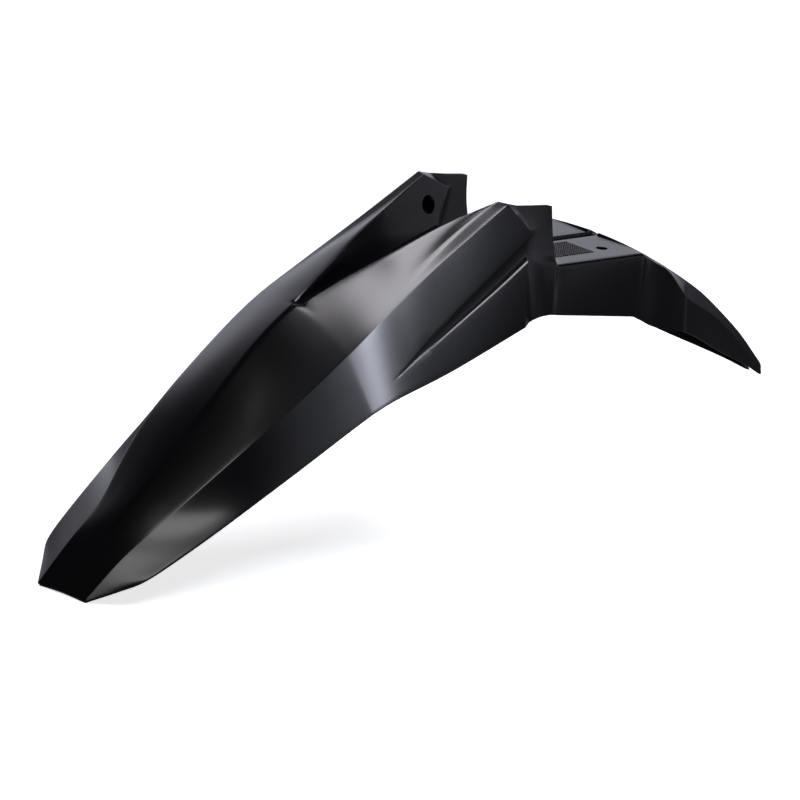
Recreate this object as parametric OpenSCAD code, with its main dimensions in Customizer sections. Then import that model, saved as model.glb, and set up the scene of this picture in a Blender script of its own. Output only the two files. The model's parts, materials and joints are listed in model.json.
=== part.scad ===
// Front mudguard of an off-road motorcycle: one moulded plastic shell.
// X runs forward to the tip, Y to the rider's left, Z up from the mounting pads.
// The origin is on top of the pads, in the middle of the four bolt holes.

/* [Overall size] */
// from the bolt centre forward to the tip
beak_len = 478; // [400:1:560]
// from the bolt centre back to the end of the tail
tail_len = 249; // [200:1:300]
// how far the tip lies below the mounting pads
beak_drop = 235; // [200:1:270]
// how far the end of the tail lies below the mounting pads
tail_drop = 136; // [115:1:160]
// width over the lower edges of the side panels
max_w = 202; // [180:1:230]
// thickness of the moulded wall
wall = 2.6; // [2:0.1:3.2]

/* [Beak] */
// width of the straight front edge
tip_w = 55; // [46:1:66]
// height of the two horns above the mounting pads
horn_h = 52.6; // [46:0.2:60]
// rise of the ridge of the top panel above its creases at the notch
crown_h = 24; // [16:1:30]
// depth of the long scoop in each side panel at its rear end
scoop_d = 5; // [3:0.5:7]

/* [Notch between the horns] */
// height of the notch floor above the pads at its rear end
floor_h = 12; // [8:1:16]
// half width of the notch floor at its rear end
floor_w = 33; // [30:1:35]
// diameter of the round hole in each notch wall
side_hole_d = 15; // [11:0.5:17]

/* [Mounting pads] */
// spacing of the bolt holes across the mudguard
bolt_span_y = 74; // [64:1:80]
// spacing of the bolt holes along the mudguard
bolt_span_x = 62; // [52:1:66]
// diameter of the bolt holes
bolt_d = 9; // [6.5:0.5:10.5]
// width of the groove between the pads
groove_w = 10; // [8:0.5:13]
// depth of the groove between the pads
groove_d = 4; // [2:0.5:5.5]
// outside diameter of the seat ring under each bolt hole
seat_d = 20; // [16:0.5:24]
// how far each seat ring stands out under the pad
seat_h = 3; // [2:0.5:5]

/* [Hidden] */
plastic = [0.06, 0.06, 0.08];
fine = 48;

// the guide lines are drawn about the middle of the pads at the drawn sizes,
// and are stretched to the sizes above
drawn_front = 484;
drawn_rear = 243.5;
drawn_drop = 235;
drawn_tail_drop = 136;
drawn_half = 101;
drawn_horn = 52.6;
// the bolt centre lies this far ahead of the middle of the pads
bolt_shift = 5.5;
groove_y = groove_w / 2;
stretch_front = (beak_len + bolt_shift) / drawn_front;
stretch_rear = (tail_len - bolt_shift) / drawn_rear;
function sized(p) = [
    p.x * (p.x > 0 ? stretch_front : stretch_rear) - bolt_shift,
    p.y * max_w / 2 / drawn_half,
    p.z * (p.z > 0 ? horn_h / drawn_horn
        : p.x > 0 ? beak_drop / drawn_drop : tail_drop / drawn_tail_drop)];

// smooth curve through knots of a station and a value
function knot(c, t) = max([for (i = [0 : len(c) - 2]) t >= c[i][0] ? i : 0]);
function slope(c, i) = let (a = max(i - 1, 0), b = min(i + 1, len(c) - 1))
    (c[b][1] - c[a][1]) / (c[b][0] - c[a][0]);
function along(c, t) = let (i = knot(c, t), w = c[i + 1][0] - c[i][0],
    u = (t - c[i][0]) / w, u2 = u * u, u3 = u2 * u)
    (2 * u3 - 3 * u2 + 1) * c[i][1] + (u3 - 2 * u2 + u) * w * slope(c, i)
    + (3 * u2 - 2 * u3) * c[i + 1][1] + (u3 - u2) * w * slope(c, i + 1);
function mix(a, b, u) = a + (b - a) * u;

// guide lines of the front, station 0 at the tip and 1 at the horns
apex = 0.567;
crease = [
    [0, [484, 27.5, -235]], [0.09, [450, 30.5, -202.5]], [0.17, [419, 35, -179]],
    [0.24, [393, 44.8, -153]], [0.33, [357, 55.9, -120]], [0.45, [309, 63, -83.5]],
    [0.6, [251, 65.2, -40.5]], [0.72, [205, 59.9, -11]], [0.85, [155, 55.2, 18.5]],
    [1, [96, 52.5, 52.4]]];
skirt = [
    [0, [455.5, 54, -218.6]], [0.045, [447, 61, -210.5]], [0.18, [393, 75, -174.5]],
    [0.36, [332, 87.2, -134.5]], [0.56, [264, 97, -91]], [0.62, [242.7, 99, -80.6]],
    [0.8, [184, 101, -61.5]], [1, [110, 101, -34]]];
lip = [
    [apex, [263.5, 4, -25]], [0.65, [231, 9.9, -7.3]], [0.715, [206, 15.9, 5.4]],
    [0.77, [185.8, 22.2, 16.3]], [0.87, [145, 30.4, 35.2]], [1, [98.2, 43.2, 52.6]]];
spine = [
    [0, [484, 0, -234]], [0.16, [419.5, 0, -172]], [0.33, [354, 0, -107]],
    [0.45, [309, 0, -59.5]], [0.52, [281.8, 0, -36.6]], [apex, [263.5, 0, -24.3]]];
drawn_tip = 27.5;
drawn_crown = 24;
tip_blend = 0.3;
// width of the narrow band beside each crease
band = [[0, 2.5], [0.4, 3.8], [0.64, 5.2], [0.88, 10.9], [1, 9.3]];
// share of the way down the side panel of the scoop's two rims, which meet ahead of it
scoop_start = 0.64;
scoop_top = [
    [0, 0.5], [0.5, 0.66], [0.6, 0.735], [scoop_start, 0.75], [0.68, 0.69], [0.76, 0.577],
    [0.83, 0.515], [0.9, 0.463], [0.95, 0.423], [1, 0.389], [1.06, 0.357]];
scoop_low = [
    [0, 0.66], [0.5, 0.74], [0.6, 0.775], [scoop_start, 0.765], [0.72, 0.694],
    [0.79, 0.652], [0.87, 0.609], [0.965, 0.562], [1.06, 0.503]];
// the rear edge of the side panel bows back by these stations at the scoop's rims
bow_top = 0.051;
bow_low = 0.03;
bow_from = 0.8;

// a guide line that runs on straight past its last knot
reach = 0.03;
function beyond(c, t) = t <= 1 ? along(c, t)
    : along(c, 1) + (along(c, 1) - along(c, 1 - reach)) * (t - 1) / reach;
function crease_at(t) = let (p = sized(beyond(crease, t)), d = max(0, 1 - t / tip_blend))
    [p.x, p.y + (tip_w / 2 - drawn_tip) * d, p.z];
function skirt_at(t) = sized(beyond(skirt, t));
function spine_at(t) = let (p = sized(along(spine, t)), c = crease_at(t))
    [p.x, 0, c.z + (p.z - c.z) * crown_h / drawn_crown];
crown_power = 1.5;
function arch(s, c, y) = [mix(s.x, c.x, y / c.y), y,
    c.z + (s.z - c.z) * (1 - pow(y / c.y, crown_power))];

// four points across a side panel: rim, two floor points and rim of the scoop
function ease(u) = let (v = min(1, max(0, u))) v * v * (3 - 2 * v);
function panel_at(t, f) = mix(crease_at(t), skirt_at(t), f);
function side(t) = let (in = ease((t - scoop_start) / (1 - scoop_start)) * scoop_d,
    bow = pow(max(0, (t - bow_from) / (1 - bow_from)), 2),
    a = t + bow_top * bow, b = t + bow_low * bow,
    p = panel_at(a, along(scoop_top, a)), q = panel_at(b, along(scoop_low, b)))
    [p, mix(p, q, 0.2) - [0, in, in * 0.5], mix(p, q, 0.85) - [0, in, in * 0.5], q];

// half section ahead of the notch, from the spine to the lower edge
foot_y = 2.8;
lip_y = 4;
function beak(t) = let (c = crease_at(t), s = spine_at(t),
    i = arch(s, c, c.y - along(band, t)))
    concat([for (y = [0, 1, 2, foot_y, lip_y]) arch(s, c, y)],
        [arch(s, c, (lip_y + i.y) / 2), i, c], side(t), [skirt_at(t)]);

// half section through the notch
floor_front = [263.5, 0, -26];
floor_rear_x = 90;
band_rise = 0.56;
panel_swell = 2.7;
function notch(t) = let (c = crease_at(t), l = sized(along(lip, t)),
    u = (t - apex) / (1 - apex),
    fx = mix(sized(floor_front).x, sized([floor_rear_x, 0, 0]).x, u),
    fz = mix(sized(floor_front).z, floor_h, u), fy = mix(foot_y, floor_w, u),
    w = along(band, t), i = mix([c.x, c.y - w, c.z + w * band_rise * (1 - u)],
        [l.x, l.y + 0.8, l.z - 0.1], pow(u, 8)),
    m = mix(l, i, 0.5) + [0, 0, panel_swell * (1 - u)])
    concat([[fx, 0, fz], [fx, mix(1, groove_y - 1, u), fz], [fx, mix(2, groove_y, u), fz],
        [fx, fy, fz], l, m, i, c], side(t), [skirt_at(t)]);

// rows behind the horns, drawn like the guide lines
rear = [
    // just behind the rear edge of the side panels
    [[88, 0, 12], [88, 4, 12], [88, 5, 12], [87, 33.5, 12], [69, 44, 38], [75, 47.5, 43.5],
     [84, 50, 49.5], [86, 51.8, 50.3], [77, 59, 31], [79, 60.5, 26], [82, 63, 18],
     [84, 65, 11], [86, 80.5, -37]],
    // pocket between the ears
    [[84, 0, 1], [84, 4, 0.5], [84, 5, 1], [82, 38, 1.5], [66, 45.5, 37.5],
     [67, 46.5, 42], [67, 48, 47.5], [67, 50.5, 48], [64, 54.5, 31], [64, 56.5, 22],
     [64, 59.5, 11], [64, 62.5, 3], [62, 68, -38.5]],
    // rear edge of the ears
    [[52, 0, -2], [52, 4, -2], [52, 5, 0], [52, 38, 0.3], [50, 45.5, 37.5], [48, 46.5, 42],
     [46, 48, 46], [45, 50, 46], [45, 52.5, 30], [45, 54.5, 20], [45.2, 57, 8],
     [46, 62.8, 1], [50, 66, -39]],
    // front edge of the pads
    [[44, 0, -4], [44, 4, -4], [44, 5, 0], [44, 35, 0], [44, 43, 0], [44, 46, 0],
     [44, 50, 0], [44, 53, 0], [44.2, 56, 0], [44.4, 59, 0], [44.6, 62, -0.2],
     [45, 63.6, -2], [44, 66, -40]],
    // rear edge of the pads
    [[-50, 0, -4], [-50, 4, -4], [-49.5, 5, 0], [-49, 20, 0], [-48.5, 36, 0],
     [-48, 48, 0], [-47.5, 56, 0], [-47, 60, 0], [-46.8, 61, -0.1], [-46.6, 62, -0.3],
     [-46.5, 63, -0.8], [-46.5, 64, -2.5], [-44, 64, -51]]];
// the foot of the groove is drawn at this depth
drawn_groove = 4;
function rear_row(r) = [for (j = [0 : 12]) let (p = sized(r[j]),
    z = p.z < 0 ? p.z * groove_d / drawn_groove : p.z)
    j == 0 ? [p.x, 0, z] : j == 1 ? [p.x, groove_y - 1, z]
    : j == 2 ? [p.x, groove_y, p.z] : p];

// guide lines of the tail, station 0 at the pads and 1 at the end
tail_top = [
    [0, [-50, 62, -1.5]], [0.16, [-76, 59, -14.8]], [0.33, [-109, 52, -32.6]],
    [0.44, [-131, 46, -45.2]], [0.62, [-164.7, 36, -67.9]], [0.79, [-198.6, 25, -92.2]],
    [0.94, [-226.6, 15, -115.7]], [1, [-238.6, 10, -126.7]]];
tail_fold = [
    [0, [-50, 65, -4.5]], [0.1, [-68.8, 65.5, -13]], [0.17, [-80, 65, -22]],
    [0.28, [-98.7, 61, -41]], [0.54, [-150.5, 45, -67.8]], [0.83, [-206.6, 25, -106.2]],
    [1, [-240, 10.5, -130]]];
tail_low = [
    [0, [-47, 64.5, -53]], [0.1, [-64, 66, -61.5]], [0.3, [-102.3, 62, -70.1]],
    [0.64, [-169.2, 38, -101]], [0.91, [-224.5, 16, -125.5]], [1, [-243.5, 8, -136]]];
// the side of the tail steps in a little behind the waist
step_from = 0.28;
step_to = 0.305;
step_in = 1.6;
// rise of the middle of the tail above its edges, and bow of its end
tail_crown = 4;
tail_bow = 3;
function tail(u) = let (in = [0, ease((u - step_from) / (step_to - step_from)) * step_in, 0],
    a = sized(along(tail_top, u)), b = sized(along(tail_fold, u)) - in,
    c = sized(along(tail_low, u)) - in, g = groove_y * a.y / sized(tail_top[0][1]).y,
    x = a.x - tail_bow * u, z = a.z + tail_crown - groove_d / 2 * (1 - u))
    concat([[x, 0, z], [x, g * 0.8, z]],
        [for (w = [0, 0.3, 0.55, 0.75, 0.9]) let (y = mix(g, a.y, w), v = 1 - pow(y / a.y, 2))
            [a.x - tail_bow * u * v, y, a.z + tail_crown * v]],
        [a, mix(a, b, 0.25), mix(a, b, 0.5), mix(a, b, 0.75), b, c]);

// every half section from the tip to the end of the tail
beak_step = 0.0325;
notch_rows = 16;
tail_stations = concat([0, 0.03, 0.07, 0.12, 0.17, 0.22, step_from, step_to],
    [for (i = [1 : 11]) mix(step_to, 1, i / 11)]);
function between(a, b, n) = [for (i = [1 : n - 1]) mix(a, b, i / n)];
pads_front = rear_row(rear[3]);
pads_rear = rear_row(rear[4]);
halves = concat(
    [for (t = [0 : beak_step : apex - 0.01]) beak(t)], [beak(apex - 0.002)],
    [for (i = [0 : notch_rows]) notch(mix(apex + 0.004, 1, i / notch_rows))],
    [for (i = [0 : 3]) rear_row(rear[i])],
    between(pads_front, pads_rear, 4), [pads_rear],
    [for (u = tail_stations) tail(u)]);

// the outer skin, right side then left, and the inner skin one wall below it
function mirrored(p) = [p.x, -p.y, p.z];
outer = [for (h = halves) concat([for (j = [12 : -1 : 1]) mirrored(h[j])], h)];
rows = len(outer);
cols = len(outer[0]);
function unit(v) = v / max(norm(v), 0.000001);
function face_up(i, j) = unit(cross(outer[i][j + 1] - outer[i + 1][j],
    outer[i + 1][j + 1] - outer[i][j]));
lean = [for (i = [0 : rows - 1]) [for (j = [0 : cols - 1])
    let (f = [for (a = [i - 1, i], b = [j - 1, j])
        if (a >= 0 && a < rows - 1 && b >= 0 && b < cols - 1) face_up(a, b)],
        m = [for (k = [0 : 2]) [for (q = f) q[k]] * [for (q = f) 1]] / len(f))
    m / pow(max(norm(m), 0.8), 2)]];
inner = [for (i = [0 : rows - 1]) [for (j = [0 : cols - 1]) outer[i][j] - wall * lean[i][j]]];

// joins the two skins round the open edge
function id(s, i, j) = (s * rows + i) * cols + j;
function quad(a, b, c, d) = [[a, b, c], [a, c, d]];
skin_faces = [for (i = [0 : rows - 2], j = [0 : cols - 2])
    for (f = concat(
        quad(id(0, i, j), id(0, i + 1, j), id(0, i + 1, j + 1), id(0, i, j + 1)),
        quad(id(1, i, j), id(1, i, j + 1), id(1, i + 1, j + 1), id(1, i + 1, j)))) f];
end_faces = [for (i = [0, rows - 1], j = [0 : cols - 2])
    for (f = i == 0
        ? quad(id(0, i, j), id(0, i, j + 1), id(1, i, j + 1), id(1, i, j))
        : quad(id(0, i, j + 1), id(0, i, j), id(1, i, j), id(1, i, j + 1))) f];
edge_faces = [for (j = [0, cols - 1], i = [0 : rows - 2])
    for (f = j == 0
        ? quad(id(0, i + 1, j), id(0, i, j), id(1, i, j), id(1, i + 1, j))
        : quad(id(0, i, j), id(0, i + 1, j), id(1, i + 1, j), id(1, i, j))) f];

module shell() {
    polyhedron(
        points = concat([for (r = outer) for (p = r) p], [for (r = inner) for (p = r) p]),
        faces = concat(skin_faces, end_faces, edge_faces), convexity = 10);
}

// middle of the round hole in the left notch wall, which it meets square
side_hole_at = [96, 37.5, 29];
side_hole = sized(side_hole_at);
hole_lean = 15;
hole_turn = 6;
drill_len = 16;
module side_holes() {
    for (s = [-1, 1])
        translate([side_hole.x, s * side_hole.y, side_hole.z])
            rotate([s * (90 - hole_lean), 0, -s * hole_turn])
                cylinder(d = side_hole_d, h = drill_len, center = true, $fn = fine);
}

module at_bolts() {
    for (x = [-1, 1], y = [-1, 1])
        translate([x * bolt_span_x / 2, y * bolt_span_y / 2, 0]) children();
}

module mudguard() {
    color(plastic) difference() {
        union() {
            shell();
            at_bolts() translate([0, 0, -wall - seat_h])
                cylinder(d = seat_d, h = seat_h + wall / 2, $fn = fine);
        }
        at_bolts() translate([0, 0, -wall - seat_h - 1])
            cylinder(d = bolt_d, h = wall + seat_h + 2, $fn = fine);
        side_holes();
    }
}

mudguard();
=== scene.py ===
"""Off-road motorcycle front mudguard: visual model, finish, light and camera.

The shell is computed as a grid of cross sections, in the same way and from the same sizes as
the solid part. It is then subdivided, rounded along its hard edges and drilled.
"""

import json
import logging
import math
from dataclasses import dataclass, field
from enum import Enum, IntEnum
from typing import Any, Mapping, Sequence

import bmesh
import bpy
import numpy as np
from mathutils import Matrix, Vector

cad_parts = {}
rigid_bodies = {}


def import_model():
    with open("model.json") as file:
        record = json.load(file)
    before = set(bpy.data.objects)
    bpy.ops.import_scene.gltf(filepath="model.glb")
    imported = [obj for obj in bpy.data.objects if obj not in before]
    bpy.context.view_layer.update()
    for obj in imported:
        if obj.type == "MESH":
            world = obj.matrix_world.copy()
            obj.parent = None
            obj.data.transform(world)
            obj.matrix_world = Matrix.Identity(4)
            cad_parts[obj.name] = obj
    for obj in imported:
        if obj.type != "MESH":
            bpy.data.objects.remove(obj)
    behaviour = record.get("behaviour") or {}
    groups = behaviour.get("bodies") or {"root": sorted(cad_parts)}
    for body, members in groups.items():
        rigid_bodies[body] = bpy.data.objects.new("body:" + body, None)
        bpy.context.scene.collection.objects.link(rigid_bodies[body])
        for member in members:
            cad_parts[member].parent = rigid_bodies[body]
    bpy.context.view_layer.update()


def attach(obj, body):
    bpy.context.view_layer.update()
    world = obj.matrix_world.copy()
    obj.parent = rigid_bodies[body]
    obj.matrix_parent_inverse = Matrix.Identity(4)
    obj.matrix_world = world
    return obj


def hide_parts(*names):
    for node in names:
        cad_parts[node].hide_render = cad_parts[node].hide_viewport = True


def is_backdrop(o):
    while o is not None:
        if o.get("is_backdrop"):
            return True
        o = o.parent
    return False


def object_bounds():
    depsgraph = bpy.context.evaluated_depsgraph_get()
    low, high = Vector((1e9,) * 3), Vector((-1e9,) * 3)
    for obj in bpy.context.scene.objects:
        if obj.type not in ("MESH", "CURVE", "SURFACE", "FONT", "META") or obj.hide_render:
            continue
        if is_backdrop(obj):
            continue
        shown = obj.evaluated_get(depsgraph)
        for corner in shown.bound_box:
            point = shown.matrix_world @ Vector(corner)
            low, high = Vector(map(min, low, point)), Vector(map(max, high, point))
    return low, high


LOG = logging.getLogger("mudguard")
MM = 0.001
WHITE = (1, 1, 1, 1)

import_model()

Point = tuple[float, float, float]
Knots = Sequence[tuple[float, Sequence[float]]]


class Side(Enum):
    """Which half of the mudguard a feature lies on."""

    LEFT = 1
    RIGHT = -1


class Join(Enum):
    """How another solid is joined to the shell."""

    ADD = "UNION"
    CUT = "DIFFERENCE"


class Sharp(Enum):
    """How sharp an edge stays when the shell is subdivided, from 0 to 1."""

    HARD = 1.0
    CRISP = 0.9
    FIRM = 0.85
    EASED = 0.7
    SOFT = 0.6
    NONE = 0.0


class Line(IntEnum):
    """The lengthwise lines of the grid, counted from the centre plane outward."""

    CENTRE = 0
    GROOVE_FOOT = 1
    GROOVE_EDGE = 2
    FLOOR_EDGE = 3
    LIP = 4
    PANEL = 5
    BAND = 6
    CREASE = 7
    SCOOP_RIM = 8
    SCOOP_UPPER = 9
    SCOOP_LOWER = 10
    SCOOP_FOOT = 11
    SKIRT = 12


def mix(a: Any, b: Any, u: float) -> Any:
    """The value a share u of the way from a to b."""
    return a + (b - a) * u


def ease(u: float) -> float:
    """A share from 0 to 1 that starts and ends gently."""
    v = min(1.0, max(0.0, u))
    return v * v * (3 - 2 * v)


def cubic(p: Any, slope_p: Any, q: Any, slope_q: Any, u: float) -> Any:
    """A cubic curve between two values.

    Args:
        p: the value at u = 0.
        slope_p: the slope there.
        q: the value at u = 1.
        slope_q: the slope there.
        u: the share of the way.

    Returns:
        The value at u.
    """
    u2, u3 = u * u, u * u * u
    return (
        (2 * u3 - 3 * u2 + 1) * p
        + (u3 - 2 * u2 + u) * slope_p
        + (3 * u2 - 2 * u3) * q
        + (u3 - u2) * slope_q
    )


def along(knots: Knots, t: float) -> np.ndarray:
    """A smooth curve through knots.

    Args:
        knots: stations in rising order, each with its value.
        t: the station wanted.

    Returns:
        The value at t, by cubic pieces that share their slopes at the knots.
    """
    stations = [k[0] for k in knots]
    values = [np.array(k[1], float) for k in knots]
    last = len(knots) - 1

    def slope(i: int) -> np.ndarray:
        """The slope at knot i, from its neighbours."""
        a, b = max(i - 1, 0), min(i + 1, last)
        return (values[b] - values[a]) / (stations[b] - stations[a])

    i = max(k for k in range(last) if k == 0 or t >= stations[k])
    w = stations[i + 1] - stations[i]
    u = (t - stations[i]) / w
    return cubic(values[i], w * slope(i), values[i + 1], w * slope(i + 1), u)


@dataclass(frozen=True)
class Sizes:
    """The driving sizes in millimetres, the same as the solid part's."""

    beak_len: float = 478
    tail_len: float = 249
    beak_drop: float = 235
    tail_drop: float = 136
    max_w: float = 202
    wall: float = 2.6
    tip_w: float = 55
    horn_h: float = 52.6
    crown_h: float = 24
    scoop_d: float = 5
    floor_h: float = 12
    floor_w: float = 33
    side_hole_d: float = 15
    bolt_span_x: float = 62
    bolt_span_y: float = 74
    bolt_d: float = 9
    groove_w: float = 10
    groove_d: float = 4
    seat_d: float = 20
    seat_h: float = 3


@dataclass(frozen=True)
class Drawn:
    """The sizes at which the guide lines are drawn, in millimetres."""

    front: float = 484
    rear: float = 243.5
    drop: float = 235
    tail_drop: float = 136
    half: float = 101
    horn: float = 52.6
    tip: float = 27.5
    crown: float = 24
    groove: float = 4
    shift: float = 5.5


APEX = 0.567
CREASE: Knots = [
    (0, (484, 27.5, -235)), (0.09, (450, 30.5, -202.5)), (0.17, (419, 35, -179)),
    (0.24, (393, 44.8, -153)), (0.33, (357, 55.9, -120)), (0.45, (309, 63, -83.5)),
    (0.6, (251, 65.2, -40.5)), (0.72, (205, 59.9, -11)), (0.85, (155, 55.2, 18.5)),
    (1, (96, 52.5, 52.4)),
]
SKIRT: Knots = [
    (0, (455.5, 54, -218.6)), (0.045, (447, 61, -210.5)), (0.18, (393, 75, -174.5)),
    (0.36, (332, 87.2, -134.5)), (0.56, (264, 97, -91)), (0.62, (242.7, 99, -80.6)),
    (0.8, (184, 101, -61.5)), (1, (110, 101, -34)),
]
LIP: Knots = [
    (APEX, (263.5, 4, -25)), (0.65, (231, 9.9, -7.3)), (0.715, (206, 15.9, 5.4)),
    (0.77, (185.8, 22.2, 16.3)), (0.87, (145, 30.4, 35.2)), (1, (98.2, 43.2, 52.6)),
]
SPINE: Knots = [
    (0, (484, 0, -234)), (0.16, (419.5, 0, -172)), (0.33, (354, 0, -107)),
    (0.45, (309, 0, -59.5)), (0.52, (281.8, 0, -36.6)), (APEX, (263.5, 0, -24.3)),
]
BAND: Knots = [(0, (2.5,)), (0.4, (3.8,)), (0.64, (5.2,)), (0.88, (10.9,)), (1, (9.3,))]
SCOOP_START = 0.64
SCOOP_TOP: Knots = [
    (0, (0.5,)), (0.5, (0.66,)), (0.6, (0.735,)), (SCOOP_START, (0.75,)), (0.68, (0.69,)),
    (0.76, (0.577,)), (0.83, (0.515,)), (0.9, (0.463,)), (0.95, (0.423,)), (1, (0.389,)),
    (1.06, (0.357,)),
]
SCOOP_LOW: Knots = [
    (0, (0.66,)), (0.5, (0.74,)), (0.6, (0.775,)), (SCOOP_START, (0.765,)), (0.72, (0.694,)),
    (0.79, (0.652,)), (0.87, (0.609,)), (0.965, (0.562,)), (1.06, (0.503,)),
]
REAR = [
    [(88, 0, 12), (88, 4, 12), (88, 5, 12), (87, 33.5, 12), (69, 44, 38), (75, 47.5, 43.5),
     (84, 50, 49.5), (86, 51.8, 50.3), (77, 59, 31), (79, 60.5, 26), (82, 63, 18),
     (84, 65, 11), (86, 80.5, -37)],
    [(84, 0, 1), (84, 4, 0.5), (84, 5, 1), (82, 38, 1.5), (66, 45.5, 37.5),
     (67, 46.5, 42), (67, 48, 47.5), (67, 50.5, 48), (64, 54.5, 31), (64, 56.5, 22),
     (64, 59.5, 11), (64, 62.5, 3), (62, 68, -38.5)],
    [(52, 0, -2), (52, 4, -2), (52, 5, 0), (52, 38, 0.3), (50, 45.5, 37.5),
     (48, 46.5, 42), (46, 48, 46), (45, 50, 46), (45, 52.5, 30), (45, 54.5, 20),
     (45.2, 57, 8), (46, 62.8, 1), (50, 66, -39)],
    [(44, 0, -4), (44, 4, -4), (44, 5, 0), (44, 35, 0), (44, 43, 0), (44, 46, 0),
     (44, 50, 0), (44, 53, 0), (44.2, 56, 0), (44.4, 59, 0), (44.6, 62, -0.2),
     (45, 63.6, -2), (44, 66, -40)],
    [(-50, 0, -4), (-50, 4, -4), (-49.5, 5, 0), (-49, 20, 0), (-48.5, 36, 0),
     (-48, 48, 0), (-47.5, 56, 0), (-47, 60, 0), (-46.8, 61, -0.1), (-46.6, 62, -0.3),
     (-46.5, 63, -0.8), (-46.5, 64, -2.5), (-44, 64, -51)],
]
TAIL_TOP: Knots = [
    (0, (-50, 62, -1.5)), (0.16, (-76, 59, -14.8)), (0.33, (-109, 52, -32.6)),
    (0.44, (-131, 46, -45.2)), (0.62, (-164.7, 36, -67.9)), (0.79, (-198.6, 25, -92.2)),
    (0.94, (-226.6, 15, -115.7)), (1, (-238.6, 10, -126.7)),
]
TAIL_FOLD: Knots = [
    (0, (-50, 65, -4.5)), (0.1, (-68.8, 65.5, -13)), (0.17, (-80, 65, -22)),
    (0.28, (-98.7, 61, -41)), (0.54, (-150.5, 45, -67.8)), (0.83, (-206.6, 25, -106.2)),
    (1, (-240, 10.5, -130)),
]
TAIL_LOW: Knots = [
    (0, (-47, 64.5, -53)), (0.1, (-64, 66, -61.5)), (0.3, (-102.3, 62, -70.1)),
    (0.64, (-169.2, 38, -101)), (0.91, (-224.5, 16, -125.5)), (1, (-243.5, 8, -136)),
]


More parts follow.
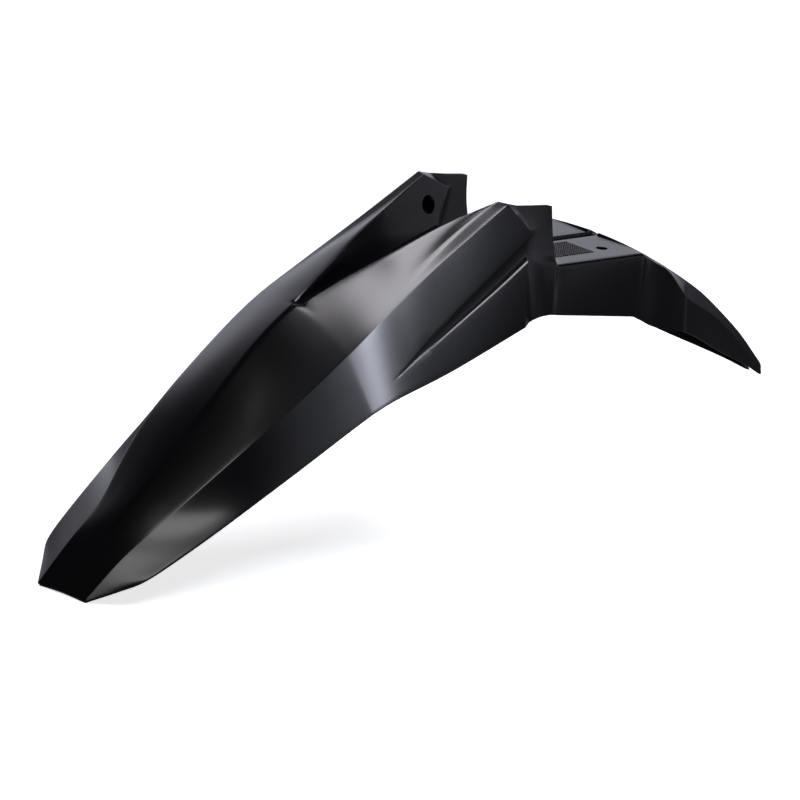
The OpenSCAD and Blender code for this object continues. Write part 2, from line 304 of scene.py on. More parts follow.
@dataclass
class ShellForm:
    """The half sections of the shell, from the tip to the end of the tail.

    The row numbers are known once halves() has run.
    """

    sizes: Sizes = field(default_factory=Sizes)
    drawn: Drawn = field(default_factory=Drawn)
    reach: float = 0.03
    tip_blend: float = 0.3
    crown_power: float = 1.5
    bow_top: float = 0.051
    bow_low: float = 0.03
    bow_from: float = 0.8
    scoop_floor: tuple[float, float] = (0.2, 0.85)
    scoop_tilt: float = 0.5
    foot_y: float = 2.8
    lip_y: float = 4
    floor_front: Point = (263.5, 0, -26)
    floor_rear_x: float = 90
    band_rise: float = 0.56
    band_end: Point = (0, 0.8, -0.1)
    band_power: int = 8
    panel_swell: float = 2.7
    step_from: float = 0.28
    step_to: float = 0.305
    step_in: float = 1.6
    tail_crown: float = 4
    tail_bow: float = 3
    tail_foot: float = 0.8
    tail_across: tuple[float, ...] = (0, 0.3, 0.55, 0.75, 0.9)
    tail_down: tuple[float, ...] = (0.25, 0.5, 0.75)
    beak_step: float = 0.0325
    apex_clear: float = 0.01
    apex_before: float = 0.002
    apex_after: float = 0.004
    notch_rows: int = 16
    pad_rows: int = 4
    least_lean: float = 0.8
    notch_row: int = field(default=0, init=False)
    horn_row: int = field(default=0, init=False)
    pads_front_row: int = field(default=0, init=False)
    pads_rear_row: int = field(default=0, init=False)
    step_row: int = field(default=0, init=False)
    end_row: int = field(default=0, init=False)

    def sized(self, p: Sequence[float]) -> np.ndarray:
        """Brings a drawn point to the part's sizes.

        Args:
            p: the point as drawn, in millimetres.

        Returns:
            The point on the part, in millimetres.
        """
        s, d = self.sizes, self.drawn
        front = (s.beak_len + d.shift) / d.front
        rear = (s.tail_len - d.shift) / d.rear
        if p[2] > 0:
            z = p[2] * s.horn_h / d.horn
        else:
            z = p[2] * (s.beak_drop / d.drop if p[0] > 0 else s.tail_drop / d.tail_drop)
        x = p[0] * (front if p[0] > 0 else rear) - d.shift
        return np.array([x, p[1] * s.max_w / 2 / d.half, z])

    def beyond(self, knots: Knots, t: float) -> np.ndarray:
        """A guide line that runs on straight past its last knot.

        Args:
            knots: the guide line.
            t: the station, which may be more than 1.

        Returns:
            The point on the part.
        """
        if t <= 1:
            return self.sized(along(knots, t))
        end, before = along(knots, 1), along(knots, 1 - self.reach)
        return self.sized(end + (end - before) * (t - 1) / self.reach)

    def crease_at(self, t: float) -> np.ndarray:
        """The main crease at station t."""
        p = self.beyond(CREASE, t)
        p[1] += (self.sizes.tip_w / 2 - self.drawn.tip) * max(0.0, 1 - t / self.tip_blend)
        return p

    def skirt_at(self, t: float) -> np.ndarray:
        """The lower edge of the side panel at station t."""
        return self.beyond(SKIRT, t)

    def spine_at(self, t: float) -> np.ndarray:
        """The ridge on the centre plane at station t."""
        p, c = self.sized(along(SPINE, t)), self.crease_at(t)
        return np.array([p[0], 0, c[2] + (p[2] - c[2]) * self.sizes.crown_h / self.drawn.crown])

    def arch(self, s: np.ndarray, c: np.ndarray, y: float) -> np.ndarray:
        """A point of the crowned top panel.

        Args:
            s: the spine's point of this section.
            c: the crease's point of this section.
            y: how far from the centre plane the point lies.

        Returns:
            The point on the arch between spine and crease.
        """
        u = y / c[1]
        z = c[2] + (s[2] - c[2]) * (1 - u**self.crown_power)
        return np.array([mix(s[0], c[0], u), y, z])

    def side(self, t: float) -> list[np.ndarray]:
        """The scoop's part of a side panel at station t.

        Returns:
            Four points from the top down: rim, two points of the sunk floor, rim.
        """
        depth = ease((t - SCOOP_START) / (1 - SCOOP_START)) * self.sizes.scoop_d
        bow = max(0.0, (t - self.bow_from) / (1 - self.bow_from)) ** 2
        a, b = t + self.bow_top * bow, t + self.bow_low * bow
        p = mix(self.crease_at(a), self.skirt_at(a), along(SCOOP_TOP, a)[0])
        q = mix(self.crease_at(b), self.skirt_at(b), along(SCOOP_LOW, b)[0])
        cut = np.array([0, depth, depth * self.scoop_tilt])
        upper, lower = self.scoop_floor
        return [p, mix(p, q, upper) - cut, mix(p, q, lower) - cut, q]

    def beak(self, t: float) -> list[np.ndarray]:
        """The half section ahead of the notch, at station t."""
        c, s = self.crease_at(t), self.spine_at(t)
        i = self.arch(s, c, c[1] - along(BAND, t)[0])
        tops = [self.arch(s, c, y)
                for y in (0, 1, 2, self.foot_y, self.lip_y, (self.lip_y + i[1]) / 2)]
        return [*tops, i, c, *self.side(t), self.skirt_at(t)]

    def notch(self, t: float) -> list[np.ndarray]:
        """The half section through the notch, at station t."""
        sz = self.sizes
        c, l = self.crease_at(t), self.sized(along(LIP, t))
        u = (t - APEX) / (1 - APEX)
        front = self.sized(self.floor_front)
        fx = mix(front[0], self.sized((self.floor_rear_x, 0, 0))[0], u)
        fz = mix(front[2], sz.floor_h, u)
        groove = sz.groove_w / 2
        w = along(BAND, t)[0]
        i = mix(c + np.array([0, -w, w * self.band_rise * (1 - u)]),
                l + np.array(self.band_end), u**self.band_power)
        m = mix(l, i, 0.5) + np.array([0, 0, self.panel_swell * (1 - u)])
        floor = [np.array([fx, y, fz]) for y in
                 (0, mix(1, groove - 1, u), mix(2, groove, u), mix(self.foot_y, sz.floor_w, u))]
        return [*floor, l, m, i, c, *self.side(t), self.skirt_at(t)]

    def rear_row(self, r: int) -> list[np.ndarray]:
        """Row r of the drawn rows behind the horns, with the groove at its own width."""
        row = [self.sized(p) for p in REAR[r]]
        groove = self.sizes.groove_w / 2
        row[Line.GROOVE_FOOT][1], row[Line.GROOVE_EDGE][1] = groove - 1, groove
        for p in row[:Line.GROOVE_EDGE]:
            if p[2] < 0:
                p[2] *= self.sizes.groove_d / self.drawn.groove
        return row

    def tail(self, u: float) -> list[np.ndarray]:
        """The half section of the tail at station u, from 0 at the pads to 1."""
        inset = ease((u - self.step_from) / (self.step_to - self.step_from)) * self.step_in
        a, b, c = (self.sized(along(k, u)) for k in (TAIL_TOP, TAIL_FOLD, TAIL_LOW))
        b[1] -= inset
        c[1] -= inset
        g = self.sizes.groove_w / 2 * a[1] / self.sized(TAIL_TOP[0][1])[1]
        x = a[0] - self.tail_bow * u
        z = a[2] + self.tail_crown - self.sizes.groove_d / 2 * (1 - u)
        points = [np.array([x, y, z]) for y in (0, g * self.tail_foot)]
        for w in self.tail_across:
            y = mix(g, a[1], w)
            bow = 1 - (y / a[1]) ** 2
            points.append(np.array([a[0] - self.tail_bow * u * bow, y,
                                    a[2] + self.tail_crown * bow]))
        return [*points, a, *(mix(a, b, w) for w in self.tail_down), b, c]

    def halves(self) -> list[list[np.ndarray]]:
        """Every half section from the tip to the end of the tail, and the row numbers."""
        rows = [self.beak(t) for t in np.arange(0, APEX - self.apex_clear, self.beak_step)]
        rows.append(self.beak(APEX - self.apex_before))
        self.notch_row = len(rows)
        self.horn_row = self.notch_row + self.notch_rows
        rows += [self.notch(mix(APEX + self.apex_after, 1, i / self.notch_rows))
                 for i in range(self.notch_rows + 1)]
        drawn = [self.rear_row(i) for i in range(len(REAR))]
        front, back = drawn[-2:]
        rows += drawn[:-1]
        self.pads_front_row = len(rows) - 1
        self.pads_rear_row = self.pads_front_row + self.pad_rows
        rows += [[mix(a, b, i / self.pad_rows) for a, b in zip(front, back)]
                 for i in range(1, self.pad_rows)]
        rows.append(back)
        stations = [0, 0.03, 0.07, 0.12, 0.17, 0.22, self.step_from, self.step_to]
        stations += [mix(self.step_to, 1, i / 11) for i in range(1, 12)]
        self.step_row = len(rows) + stations.index(self.step_from)
        rows += [self.tail(u) for u in stations]
        self.end_row = len(rows) - 1
        return rows

    def outer(self) -> np.ndarray:
        """The outer skin as a grid of points, right edge to left edge."""
        grid = []
        for half in self.halves():
            right = [p * np.array([1, -1, 1]) for p in half[:0:-1]]
            grid.append(right + list(half))
        return np.array(grid)

    def inner(self, outer: np.ndarray) -> np.ndarray:
        """The inner skin, one wall below the outer one.

        Args:
            outer: the outer skin's grid.

        Returns:
            A grid of the same shape.
        """
        d1 = outer[:-1, 1:] - outer[1:, :-1]
        d2 = outer[1:, 1:] - outer[:-1, :-1]
        n = np.cross(d1, d2)
        n /= np.maximum(np.linalg.norm(n, axis=2, keepdims=True), 1e-6)
        total = np.zeros_like(outer)
        count = np.zeros(outer.shape[:2] + (1,))
        rows, cols = n.shape[:2]
        for a in (0, 1):
            for b in (0, 1):
                total[a:rows + a, b:cols + b] += n
                count[a:rows + a, b:cols + b] += 1
        lean = total / count
        size = np.maximum(np.linalg.norm(lean, axis=2, keepdims=True), self.least_lean)
        return outer - self.sizes.wall * lean / size**2


class Graph:
    """A node tree, with short ways to add nodes, set their inputs and link them."""

    def __init__(self, tree: bpy.types.NodeTree) -> None:
        """Takes a tree to work on.

        Args:
            tree: where the nodes go.
        """
        self.tree = tree

    def fill(self, node: bpy.types.Node, values: Mapping[str, Any]) -> bpy.types.Node:
        """Sets inputs of a node by their names and returns it."""
        for name, value in values.items():
            node.inputs[name].default_value = value
        return node

    def node(self, kind: str, values: Mapping[str, Any] | None = None) -> bpy.types.Node:
        """Adds a node.

        Args:
            kind: the type of the node.
            values: what its named inputs are set to.

        Returns:
            The new node.
        """
        return self.fill(self.tree.nodes.new(kind), values or {})

    def link(self, a: bpy.types.NodeSocket, b: bpy.types.NodeSocket) -> None:
        """Links output a to input b."""
        self.tree.links.new(a, b)

    def eased(self, value: bpy.types.NodeSocket, low: tuple[float, float],
              high: tuple[float, float]) -> bpy.types.NodeSocket:
        """Maps a value smoothly between two levels.

        Args:
            value: the socket that gives the value.
            low: the lower value and its level.
            high: the higher value and its level.

        Returns:
            The socket that gives the level.
        """
        ramp = self.node("ShaderNodeMapRange", {
            "From Min": low[0], "From Max": high[0], "To Min": low[1], "To Max": high[1]})
        ramp.interpolation_type = "SMOOTHSTEP"
        self.link(value, ramp.inputs["Value"])
        return ramp.outputs["Result"]

    def choice(self, share: bpy.types.NodeSocket, first: bpy.types.NodeSocket,
               second: bpy.types.NodeSocket) -> bpy.types.NodeSocket:
        """Gives the first shader where the share is 0 and the second where it is 1."""
        pick = self.node("ShaderNodeMixShader")
        self.link(share, pick.inputs["Fac"])
        self.link(first, pick.inputs[1])
        self.link(second, pick.inputs[2])
        return pick.outputs["Shader"]


@dataclass(frozen=True)
class Plastic:
    """Black moulded plastic with a satin gloss."""

    name: str = "black_plastic"
    colour: tuple[float, float, float] = (0.001, 0.001, 0.0014)
    ior: float = 1.5
    roughness: float = 0.23
    grain: float = 0.02
    grain_scale: float = 14
    bump_scale: float = 900
    bump_strength: float = 0.05
    bump_height: float = 0.00008

    def material(self) -> bpy.types.Material:
        """Builds the material.

        Returns:
            A new material with a fine moulded grain in its roughness and bump.
        """
        mat = bpy.data.materials.new(self.name)
        mat.use_nodes = True
        graph = Graph(mat.node_tree)
        shader = graph.fill(mat.node_tree.nodes["Principled BSDF"],
                            {"Base Color": (*self.colour, 1), "IOR": self.ior})
        coords = graph.node("ShaderNodeTexCoord")
        fine = graph.node("ShaderNodeTexNoise", {"Scale": self.bump_scale, "Detail": 3})
        broad = graph.node("ShaderNodeTexNoise", {"Scale": self.grain_scale, "Detail": 2})
        spread = graph.node("ShaderNodeMapRange", {
            "To Min": self.roughness - self.grain, "To Max": self.roughness + self.grain})
        bump = graph.node("ShaderNodeBump", {
            "Strength": self.bump_strength, "Distance": self.bump_height})
        graph.link(coords.outputs["Object"], fine.inputs["Vector"])
        graph.link(coords.outputs["Object"], broad.inputs["Vector"])
        graph.link(broad.outputs["Fac"], spread.inputs["Value"])
        graph.link(spread.outputs["Result"], shader.inputs["Roughness"])
        graph.link(fine.outputs["Fac"], bump.inputs["Height"])
        graph.link(bump.outputs["Normal"], shader.inputs["Normal"])
        return mat


def add_object(name: str, data: bpy.types.ID) -> bpy.types.Object:
    """Links a new object to the scene.

    Args:
        name: what it is called.
        data: its mesh, light or camera.

    Returns:
        The object.
    """
    obj = bpy.data.objects.new(name, data)
    bpy.context.scene.collection.objects.link(obj)
    return obj


def baked(obj: bpy.types.Object) -> None:
    """Applies every modifier of an object to its mesh."""
    graph = bpy.context.evaluated_depsgraph_get()
    mesh = bpy.data.meshes.new_from_object(obj.evaluated_get(graph))
    obj.modifiers.clear()
    obj.data = mesh


class Repeat(Graph):
    """A Geometry Nodes group that sets one small mesh on every point it is given."""

    def __init__(self, name: str, material: bpy.types.Material) -> None:
        """Starts the group.

        Args:
            name: what the group and its object are called.
            material: the material set on every copy.
        """
        super().__init__(bpy.data.node_groups.new(name, "GeometryNodeTree"))
        self.name = name
        face = self.tree.interface
        face.new_socket("Points", in_out="INPUT", socket_type="NodeSocketGeometry")
        face.new_socket("Geometry", in_out="OUTPUT", socket_type="NodeSocketGeometry")
        self.start = self.node("NodeGroupInput")
        self.end = self.node("NodeGroupOutput")
        self.instances = self.node("GeometryNodeInstanceOnPoints")
        realize = self.node("GeometryNodeRealizeInstances")
        finish = self.node("GeometryNodeSetMaterial", {"Material": material})
        self.link(self.start.outputs["Points"], self.instances.inputs["Points"])
        self.link(self.instances.outputs["Instances"], realize.inputs["Geometry"])
        self.link(realize.outputs["Geometry"], finish.inputs["Geometry"])
        self.link(finish.outputs["Geometry"], self.end.inputs["Geometry"])

    def named(self, name: str, value: float, socket: bpy.types.NodeSocket) -> None:
        """Gives the group a named input that drives a socket.

        Args:
            name: what the input is called.
            value: what it is set to.
            socket: the socket that it drives.
        """
        item = self.tree.interface.new_socket(name, in_out="INPUT", socket_type="NodeSocketFloat")
        item.default_value = value
        self.link(self.start.outputs[name], socket)

    def seats(self, radius: float, height: float, steps: int = 64) -> "Repeat":
        """Makes each copy an upright round boss, by its radius and height in metres."""
        boss = self.node("GeometryNodeMeshCylinder", {"Vertices": steps})
        self.named("Radius", radius, boss.inputs["Radius"])
        self.named("Height", height, boss.inputs["Depth"])
        self.link(boss.outputs["Mesh"], self.instances.inputs["Instance"])
        return self

    def pips(self, size: float, height: float) -> "Repeat":
        """Makes each copy a small square pip, by its width and height in metres."""
        cube = self.node("GeometryNodeMeshCube")
        shape = self.node("ShaderNodeCombineXYZ")
        self.named("Size", size, shape.inputs["X"])
        self.link(self.start.outputs["Size"], shape.inputs["Y"])
        self.named("Height", height, shape.inputs["Z"])
        self.link(shape.outputs["Vector"], cube.inputs["Size"])
        self.link(cube.outputs["Mesh"], self.instances.inputs["Instance"])
        return self

    def at(self, points: Sequence[Sequence[float]]) -> bpy.types.Object:
        """Sets the copies on points.

        Args:
            points: the centres of the copies, in metres.

        Returns:
            A plain mesh object that holds every copy.
        """
        mesh = bpy.data.meshes.new(self.name)
        mesh.from_pydata([tuple(p) for p in points], [], [])
        obj = add_object(self.name, mesh)
        obj.modifiers.new("repeat", "NODES").node_group = self.tree
        baked(obj)
        return obj


def turned(name: str, profile: Sequence[tuple[float, float]], place: Matrix,
           steps: int = 64) -> bpy.types.Object:
    """A closed solid of revolution about its own Z axis.

    Args:
        name: what it is called.
        profile: radius and height pairs in millimetres, from the bottom up.
        place: where it stands, in metres.
        steps: facets round it.

    Returns:
        The solid as an object.
    """
    verts, faces = [], []
    for r, z in profile:
        for k in range(steps):
            a = 2 * math.pi * k / steps
            verts.append(place @ (MM * Vector((r * math.cos(a), r * math.sin(a), z))))
    for n in range(len(profile) - 1):
        for k in range(steps):
            a, b = n * steps + k, n * steps + (k + 1) % steps
            faces.append((a, b, b + steps, a + steps))
    faces.append(tuple(range(steps))[::-1])
    faces.append(tuple(range((len(profile) - 1) * steps, len(profile) * steps)))
    mesh = bpy.data.meshes.new(name)
    mesh.from_pydata(verts, [], faces)
    return add_object(name, mesh)


@dataclass(frozen=True)
class Holes:
    """The bolt holes, their seats and the holes in the notch walls.

    Attributes:
        sizes: the part's sizes.
        chamfer: the chamfer at both ends of a bolt hole.
        flare: the chamfer of a wall hole, on the side of the notch.
        face: how far that side lies from the hole's centre.
        reach: how far a wall drill goes either way.
        side_at: the centre of the left wall hole, as drawn.
        lean: how far its axis rises from level, in degrees.
        turn: how far its axis turns from straight across, in degrees.
    """

    sizes: Sizes
    chamfer: float = 0.35
    flare: float = 0.8
    face: float = 1.4
    reach: float = 8
    side_at: Point = (96, 37.5, 29)
    lean: float = 15
    turn: float = 6

    def bolts(self, z: float = 0) -> list[Point]:
        """The four bolt centres in metres, at a height in millimetres."""
        x, y = self.sizes.bolt_span_x / 2 * MM, self.sizes.bolt_span_y / 2 * MM
        return [(a * x, b * y, z * MM) for a in (-1, 1) for b in (-1, 1)]

    def bolt_drill(self, centre: Point) -> bpy.types.Object:
        """A drill whose hole has a small chamfer at both faces, at a bolt's centre."""
        s, c = self.sizes, self.chamfer
        r, low = s.bolt_d / 2, -s.wall - s.seat_h
        profile = [(r + 2 * c, low - c), (r, low + c), (r, -c), (r + 2 * c, c)]
        return turned("bolt_drill", profile, Matrix.Translation(centre))

    def wall_drill(self, side: Side, centre: np.ndarray) -> bpy.types.Object:
        """The drill of one wall hole.

        Args:
            side: which wall.
            centre: the centre of the left wall's hole, in metres.

        Returns:
            The drill, wider where it leaves the wall into the notch.
        """
        k = side.value
        x, y, z = centre
        place = (Matrix.Translation((x, k * y, z))
                 @ Matrix.Rotation(math.radians(-k * self.turn), 4, "Z")
                 @ Matrix.Rotation(math.radians(k * (90 - self.lean)), 4, "X"))
        r = self.sizes.side_hole_d / 2
        wide = r + 2 * self.flare
        profile = [(r, -self.reach), (r, self.face - self.flare),
                   (wide, self.face + self.flare), (wide, self.reach)]
        return turned("wall_drill", profile, place)

    def drills(self, form: ShellForm) -> list[bpy.types.Object]:
        """Every drill of the part.

        Args:
            form: the shell's form, which brings the wall holes to their place.

        Returns:
            Four bolt drills and two wall drills.
        """
        centre = form.sized(self.side_at) * MM
        return ([self.bolt_drill(p) for p in self.bolts()]
                + [self.wall_drill(side, centre) for side in Side])

    def seats(self, material: bpy.types.Material) -> bpy.types.Object:
        """The four seat rings under the pads, before they are drilled."""
        s = self.sizes
        tall = s.seat_h + s.wall / 2
        rings = Repeat("seats", material).seats(s.seat_d / 2 * MM, tall * MM)
        return rings.at(self.bolts(-s.wall - s.seat_h + tall / 2))


@dataclass(frozen=True)
class GripPatch:
    """A plain grid of low pips on the left pad, beside the groove."""

    centre: tuple[float, float] = (3, 26.5)
    across: tuple[int, int] = (17, 14)
    pitch: float = 2.4
    size: float = 1.15
    height: float = 0.5

    def stations(self, axis: int) -> list[float]:
        """The pips' places in metres along X (axis 0) or Y (axis 1)."""
        count = self.across[axis]
        return [(self.centre[axis] + (i - (count - 1) / 2) * self.pitch) * MM for i in range(count)]

    def build(self, material: bpy.types.Material) -> bpy.types.Object:
        """Makes the grid, sunk halfway into the pad."""
        points = [(x, y, 0) for x in self.stations(0) for y in self.stations(1)]
        return Repeat("grip_patch", material).pips(self.size * MM, 2 * self.height * MM).at(points)


@dataclass
class Shell:
    """The moulded shell with its bolt holes, seats, side holes and grip patch.

    Attributes:
        form: the grid of the outer skin.
        finish: the plastic.
        levels: how often the grid is subdivided.
        edge_round: the radius along the hard edges, in millimetres.
        sharp_angle: the fold from which an edge is shaded sharp, in degrees.
        scoop_ahead: how many rows from the notch's front the scoop starts to be creased.
        scoop_rounded: over how many rows ahead of the horns its rims are rounded.
    """

    form: ShellForm
    finish: Plastic
    levels: int = 2
    edge_round: float = 0.45
    sharp_angle: float = 32
    scoop_ahead: int = 3
    scoop_rounded: int = 9

    def crease_along(self, column: int, row: int) -> Sharp:
        """How sharp the line of one column is between a row and the next."""
        form = self.form
        if column in (Line.CREASE, Line.SKIRT):
            return Sharp.HARD
        if column == Line.BAND:
            return Sharp.SOFT if row < form.pads_rear_row else Sharp.NONE
        if column in (Line.GROOVE_FOOT, Line.GROOVE_EDGE):
            return Sharp.CRISP if row >= form.horn_row else Sharp.NONE
        if column in (Line.FLOOR_EDGE, Line.LIP):
            return Sharp.CRISP if form.notch_row <= row < form.pads_front_row else Sharp.NONE
        if column == Line.SCOOP_FOOT and row > form.pads_rear_row:
            return Sharp.HARD
        if Line.SCOOP_RIM <= column <= Line.SCOOP_FOOT:
            first = form.notch_row + self.scoop_ahead
            return Sharp.FIRM if first <= row < form.pads_front_row else Sharp.NONE
        return Sharp.NONE

    def crease_across(self, column: int, row: int) -> Sharp:
        """How sharp the line of one row is between a column and the next."""
        form = self.form
        if row in (0, form.end_row):
            return Sharp.HARD
        if row == form.horn_row:
            return Sharp.HARD if column >= Line.LIP else Sharp.EASED
        if row in (form.horn_row + 1, form.horn_row + 2):
            return Sharp.EASED
        if row in (form.pads_front_row - 1, form.pads_front_row):
            return Sharp.FIRM
        if row == form.pads_rear_row:
            return Sharp.SOFT
        if row in (form.step_row, form.step_row + 1):
            return Sharp.SOFT if column >= Line.SCOOP_RIM else Sharp.NONE
        return Sharp.NONE

    def rounded_along(self, column: int, row: int) -> bool:
        """Whether the line of one column gets a rounded lip after a row."""
        form = self.form
        if column == Line.LIP:
            return form.notch_row <= row < form.horn_row
        if column in (Line.SCOOP_RIM, Line.SCOOP_FOOT):
            return form.horn_row - self.scoop_rounded <= row < form.horn_row
        return column == Line.SKIRT or (column == Line.CREASE and row < form.horn_row)

    def faired(self, grid: np.ndarray) -> np.ndarray:
        """Lets the top panel run smoothly past the front end of the notch.

        Args:
            grid: the outer skin, which is changed.

        Returns:
            The same grid.
        """
        centre = (grid.shape[1] - 1) // 2
        a, b = self.form.notch_row - 2, self.form.notch_row + 1
        for column in (Line.LIP, Line.PANEL, Line.BAND):
            for j in (centre - column, centre + column):
                before, p, q, after = (grid[i, j].copy() for i in (a - 1, a, b, b + 1))
                w = q[0] - p[0]
                slope_p = (p[2] - before[2]) / (p[0] - before[0]) * w
                slope_q = (after[2] - q[2]) / (after[0] - q[0]) * w
                for i in range(a + 1, b):
                    u = (grid[i, j, 0] - p[0]) / w
                    grid[i, j, 2] = cubic(p[2], slope_p, q[2], slope_q, u)
        return grid

    def mark(self, bm: bmesh.types.BMesh, rows: int, cols: int) -> None:
        """Gives every edge of the cage its crease and its rounding.

        Args:
            bm: the cage, with the outer skin's points before the inner one's.
            rows: the rows of one skin.
            cols: the columns of one skin.
        """
        crease = bm.edges.layers.float.new("crease_edge")
        weight = bm.edges.layers.float.new("bevel_weight_edge")
        centre = (cols - 1) // 2
        for edge in bm.edges:
            a, b = sorted(v.index for v in edge.verts)
            skin = a // (rows * cols)
            if skin != b // (rows * cols):
                continue
            ia, ja = divmod(a % (rows * cols), cols)
            ib, jb = divmod(b % (rows * cols), cols)
            if ja == jb:
                column, row = abs(ja - centre), min(ia, ib)
                edge[crease] = self.crease_along(column, row).value
                shown = skin == 0 or column == Line.SKIRT
                edge[weight] = float(shown and self.rounded_along(column, row))
            elif ia == ib:
                column = min(abs(ja - centre), abs(jb - centre))
                edge[crease] = self.crease_across(column, ia).value
                edge[weight] = float(ia in (0, self.form.end_row))

    def cage(self) -> bpy.types.Mesh:
        """The control mesh of both skins and their rims, with its edges marked."""
        outer = self.faired(self.form.outer())
        skins = np.stack([outer, self.form.inner(outer)])
        rows, cols = outer.shape[:2]
        bm = bmesh.new()
        verts = [bm.verts.new(p * MM) for p in skins.reshape(-1, 3)]

        def face(*corners: tuple[int, int, int]) -> None:
            """Adds a face from the skin, row and column of each corner."""
            bm.faces.new([verts[(s * rows + i) * cols + j] for s, i, j in corners])

        for i in range(rows - 1):
            for j in range(cols - 1):
                face((0, i, j), (0, i + 1, j), (0, i + 1, j + 1), (0, i, j + 1))
                face((1, i, j), (1, i, j + 1), (1, i + 1, j + 1), (1, i + 1, j))
        end, edge = rows - 1, cols - 1
        for j in range(edge):
            face((0, 0, j), (0, 0, j + 1), (1, 0, j + 1), (1, 0, j))
            face((0, end, j + 1), (0, end, j), (1, end, j), (1, end, j + 1))
        for i in range(end):
            face((0, i + 1, 0), (0, i, 0), (1, i, 0), (1, i + 1, 0))
            face((0, i, edge), (0, i + 1, edge), (1, i + 1, edge), (1, i, edge))
        bm.verts.index_update()
        self.mark(bm, rows, cols)
        mesh = bpy.data.meshes.new("mudguard_shell")
        bm.to_mesh(mesh)
        bm.free()
        return mesh

    def combine(self, obj: bpy.types.Object, other: bpy.types.Object, how: Join) -> None:
        """Joins another solid to the shell, or cuts it away, and removes it.

        Args:
            obj: the shell.
            other: the other solid.
            how: whether it is added or cut.
        """
        step = obj.modifiers.new("combine", "BOOLEAN")
        step.operation = how.value
        step.solver = "EXACT"
        step.object = other
        baked(obj)
        bpy.data.objects.remove(other)

    def smoothed(self) -> bpy.types.Object:
        """The shell from its cage, subdivided and rounded along its hard edges."""
        obj = add_object("shell", self.cage())
        sub = obj.modifiers.new("round", "SUBSURF")
        sub.levels = sub.render_levels = self.levels
        sub.boundary_smooth = "PRESERVE_CORNERS"
        edge = obj.modifiers.new("edge", "BEVEL")
        edge.limit_method = "WEIGHT"
        edge.width = self.edge_round * MM
        edge.segments = 2
        edge.use_clamp_overlap = False
        baked(obj)
        return obj

    def build(self) -> bpy.types.Object:
        """Makes the finished shell.

        Returns:
            The object that rides on the root body.
        """
        obj = self.smoothed()
        material = self.finish.material()
        obj.data.materials.append(material)
        holes = Holes(self.form.sizes)
        self.combine(obj, holes.seats(material), Join.ADD)
        for drill in holes.drills(self.form):
            self.combine(obj, drill, Join.CUT)
        self.combine(obj, GripPatch().build(material), Join.ADD)
        for poly in obj.data.polygons:
            poly.use_smooth = True
        obj.data.set_sharp_from_angle(angle=math.radians(self.sharp_angle))
        obj.modifiers.new("normals", "WEIGHTED_NORMAL").keep_sharp = True
        baked(obj)
        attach(obj, "root")
        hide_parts("mudguard")
        return obj


@dataclass(frozen=True)
class PhotoCamera:
    """The camera, at the photo's angle and scale.

    Attributes:
        back: the direction from the part to the camera.
        up: the picture's upward direction.
        pixels_per_m: the photo's scale at the part.
        bolt_pixel: where the middle of the four bolts falls in the photo.
        picture: the photo's width and height in pixels.
        distance: how far away the camera stands, in metres.
        sensor: the width of its sensor in millimetres.
        sees_to: how far it sees, in metres.
    """

    back: Point = (0.66664, 0.70031, 0.25527)
    up: Point = (-0.10331, -0.25236, 0.9621)
    pixels_per_m: float = 1272.3
    bolt_pixel: tuple[float, float] = (541.2, 240.4)
    picture: float = 800
    distance: float = 30.0
    sensor: float = 36
    sees_to: float = 100

    def build(self) -> bpy.types.Object:
        """Places the camera so that the bolt centre falls on its pixel."""
        back, up = Vector(self.back).normalized(), Vector(self.up).normalized()
        right = up.cross(back).normalized()
        up = back.cross(right).normalized()
        data = bpy.data.cameras.new("camera")
        data.sensor_width = self.sensor
        data.lens = self.sensor * self.pixels_per_m * self.distance / self.picture
        data.dof.use_dof = False
        data.clip_end = self.sees_to
        cam = add_object("camera", data)
        half = self.picture / 2
        dx = (self.bolt_pixel[0] - half) / self.pixels_per_m
        dy = (half - self.bolt_pixel[1]) / self.pixels_per_m
        place = back * self.distance - right * dx - up * dy
        turn = Matrix((right, up, back)).transposed().to_4x4()
        cam.matrix_world = Matrix.Translation(place) @ turn
        bpy.context.scene.camera = cam
        return cam


@dataclass(frozen=True)
class PaleFloor:
    """A pale floor that keeps the soft shadow and fades into the surround.

    Attributes:
        half: half its width in metres.
        grey: how much light it gives back.
        glow: how much it shines to the camera.
        mirrored: what the part's gloss sees of it instead.
    """

    half: float = 12.0
    grey: float = 0.75
    roughness: float = 0.9
    glow: float = 0.74
    mirrored: tuple[float, float, float] = (0.07, 0.07, 0.085)

    def material(self) -> bpy.types.Material:
        """The floor's material, which is clear from below."""
        mat = bpy.data.materials.new("floor")
        mat.use_nodes = True
        graph = Graph(mat.node_tree)
        pale = graph.fill(mat.node_tree.nodes["Principled BSDF"], {
            "Base Color": (self.grey, self.grey, self.grey, 1), "Roughness": self.roughness,
            "Emission Color": WHITE, "Emission Strength": self.glow})
        dark = graph.node("ShaderNodeEmission", {"Color": (*self.mirrored, 1)})
        ray = graph.node("ShaderNodeLightPath")
        above = graph.choice(ray.outputs["Is Camera Ray"], dark.outputs["Emission"],
                             pale.outputs["BSDF"])
        where = graph.node("ShaderNodeNewGeometry")
        clear = graph.node("ShaderNodeBsdfTransparent")
        both = graph.choice(where.outputs["Backfacing"], above, clear.outputs["BSDF"])
        graph.link(both, mat.node_tree.nodes["Material Output"].inputs["Surface"])
        return mat

    def build(self) -> bpy.types.Object:
        """Lays the floor under the part."""
        low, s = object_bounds()[0][2], self.half
        mesh = bpy.data.meshes.new("floor")
        corners = [(-s, -s, low), (s, -s, low), (s, s, low), (-s, s, low)]
        mesh.from_pydata(corners, [], [(0, 1, 2, 3)])
        mesh.materials.append(self.material())
        obj = add_object("floor", mesh)
        obj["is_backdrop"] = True
        return obj


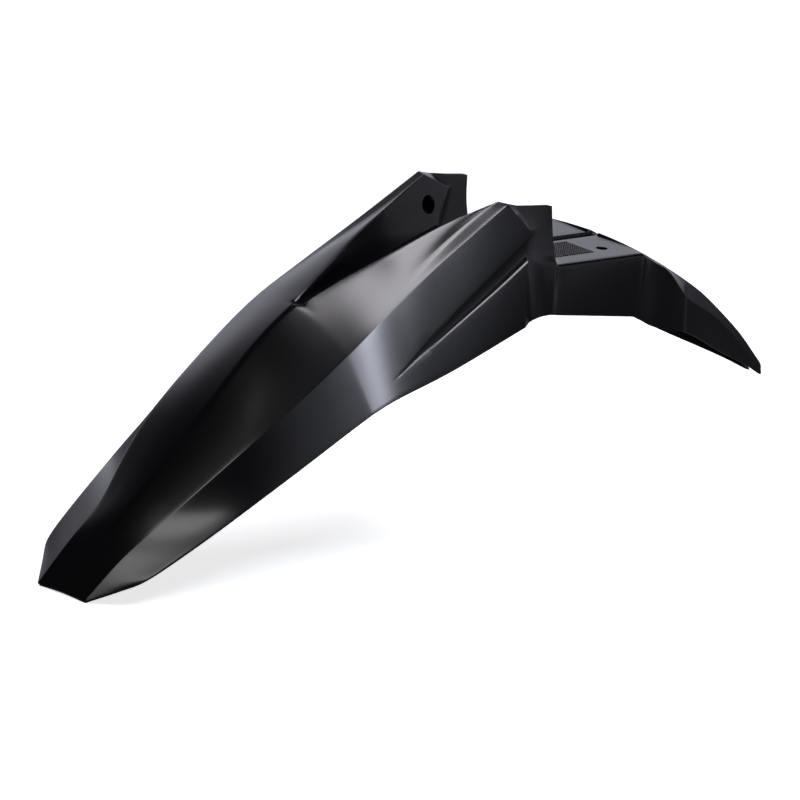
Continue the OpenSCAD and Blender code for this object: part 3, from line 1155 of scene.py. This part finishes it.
@dataclass(frozen=True)
class Surround:
    """The room round the part: white low down, dark above, and white to the camera.

    Attributes:
        tint: the colour of the low white.
        strength: how bright it is.
        white_below: the elevation up to which it is at its brightest, in degrees.
        dark_above: the elevation from which it is dark, in degrees.
        behind: the cosine to the camera's side up to which it keeps its brightness.
        beside: the cosine from which it is dimmed.
        dimmed: the share of its brightness there.
    """

    tint: tuple[float, float, float] = (0.93, 0.94, 1.07)
    strength: float = 0.9
    white_below: float = 13
    dark_above: float = 36
    behind: float = -0.95
    beside: float = -0.62
    dimmed: float = 0.46

    def build(self, back: Sequence[float]) -> None:
        """Sets the world.

        Args:
            back: the direction from the part to the camera.
        """
        world = bpy.data.worlds.new("studio")
        bpy.context.scene.world = world
        world.use_nodes = True
        graph = Graph(world.node_tree)
        coords = graph.node("ShaderNodeTexCoord")
        split = graph.node("ShaderNodeSeparateXYZ")
        graph.link(coords.outputs["Generated"], split.inputs["Vector"])
        low, high = (math.sin(math.radians(a)) for a in (self.white_below, self.dark_above))
        height = graph.eased(split.outputs["Z"], (low, self.strength), (high, 0.0))
        facing = graph.node("ShaderNodeVectorMath")
        facing.operation = "DOT_PRODUCT"
        facing.inputs[1].default_value = Vector((back[0], back[1], 0)).normalized()
        graph.link(coords.outputs["Generated"], facing.inputs[0])
        near = graph.eased(facing.outputs["Value"], (self.behind, 1.0), (self.beside, self.dimmed))
        both = graph.node("ShaderNodeMath")
        both.operation = "MULTIPLY"
        graph.link(height, both.inputs[0])
        graph.link(near, both.inputs[1])
        dim = graph.fill(world.node_tree.nodes["Background"], {"Color": (*self.tint, 1)})
        graph.link(both.outputs["Value"], dim.inputs["Strength"])
        bright = graph.node("ShaderNodeBackground", {"Color": WHITE, "Strength": 1.0})
        ray = graph.node("ShaderNodeLightPath")
        seen = graph.choice(ray.outputs["Is Camera Ray"], dim.outputs["Background"],
                            bright.outputs["Background"])
        graph.link(seen, world.node_tree.nodes["World Output"].inputs["Surface"])


def towards(azimuth: float, elevation: float) -> Vector:
    """The unit direction of an azimuth and an elevation in degrees."""
    a, e = math.radians(azimuth), math.radians(elevation)
    return Vector((math.cos(a) * math.cos(e), math.sin(a) * math.cos(e), math.sin(e)))


@dataclass(frozen=True)
class SoftBox:
    """A soft rectangular light.

    Attributes:
        name: what the light is called.
        place: its centre in metres.
        aim: the point that it faces.
        size: its width and height in metres.
        power: its power in watts.
        colour: its tint.
    """

    name: str
    place: Point
    aim: Point
    size: tuple[float, float]
    power: float
    colour: tuple[float, float, float] = (1, 1, 1)

    def build(self) -> bpy.types.Object:
        """Adds the light to the scene."""
        data = bpy.data.lights.new(self.name, "AREA")
        data.shape = "RECTANGLE"
        data.size, data.size_y = self.size
        data.energy = self.power
        data.color = self.colour
        obj = add_object(self.name, data)
        obj.location = self.place
        way = Vector(self.aim) - Vector(self.place)
        obj.rotation_euler = way.to_track_quat("-Z", "Y").to_euler()
        return obj


BEAK_ROOT: Point = (0.15, 0, -0.05)
TOP_BOX = tuple(Vector(BEAK_ROOT) + 2.2 * towards(-94, 82))
SIDE_BOX = tuple(Vector(BEAK_ROOT) + 2.4 * towards(96, 56))
LIGHTS = (
    SoftBox("top box", TOP_BOX, BEAK_ROOT, (0.48, 1.2), 20, (1, 0.98, 1.04)),
    SoftBox("side box", SIDE_BOX, BEAK_ROOT, (0.6, 0.6), 34, (0.93, 0.96, 1.1)),
    SoftBox("tip card", (0.651, -0.01, 0.278), (0.43, 0.05, -0.19), (0.26, 0.19), 0.66),
    SoftBox("low card", (-0.55, 0.87, -0.12), (-0.1, 0.06, -0.03), (0.2, 0.2), 0.09),
)


@dataclass(frozen=True)
class Studio:
    """Camera, room, floor and lights."""

    camera: PhotoCamera = PhotoCamera()
    surround: Surround = Surround()
    floor: PaleFloor = PaleFloor()
    lights: tuple[SoftBox, ...] = LIGHTS

    def build(self) -> None:
        """Sets the whole stage."""
        self.camera.build()
        self.surround.build(self.camera.back)
        self.floor.build()
        for light in self.lights:
            light.build()
        view = bpy.context.scene.view_settings
        view.view_transform = "Standard"
        view.look = "None"


def main() -> None:
    """Builds the mudguard and its stage."""
    logging.basicConfig(level=logging.INFO, format="%(name)s: %(message)s")
    for obj in list(bpy.data.objects):
        if obj.type in {"LIGHT", "CAMERA"}:
            bpy.data.objects.remove(obj)
    shell = Shell(ShellForm(), Plastic()).build()
    LOG.info("shell: %d faces", len(shell.data.polygons))
    Studio().build()


if __name__ == "__main__":
    main()
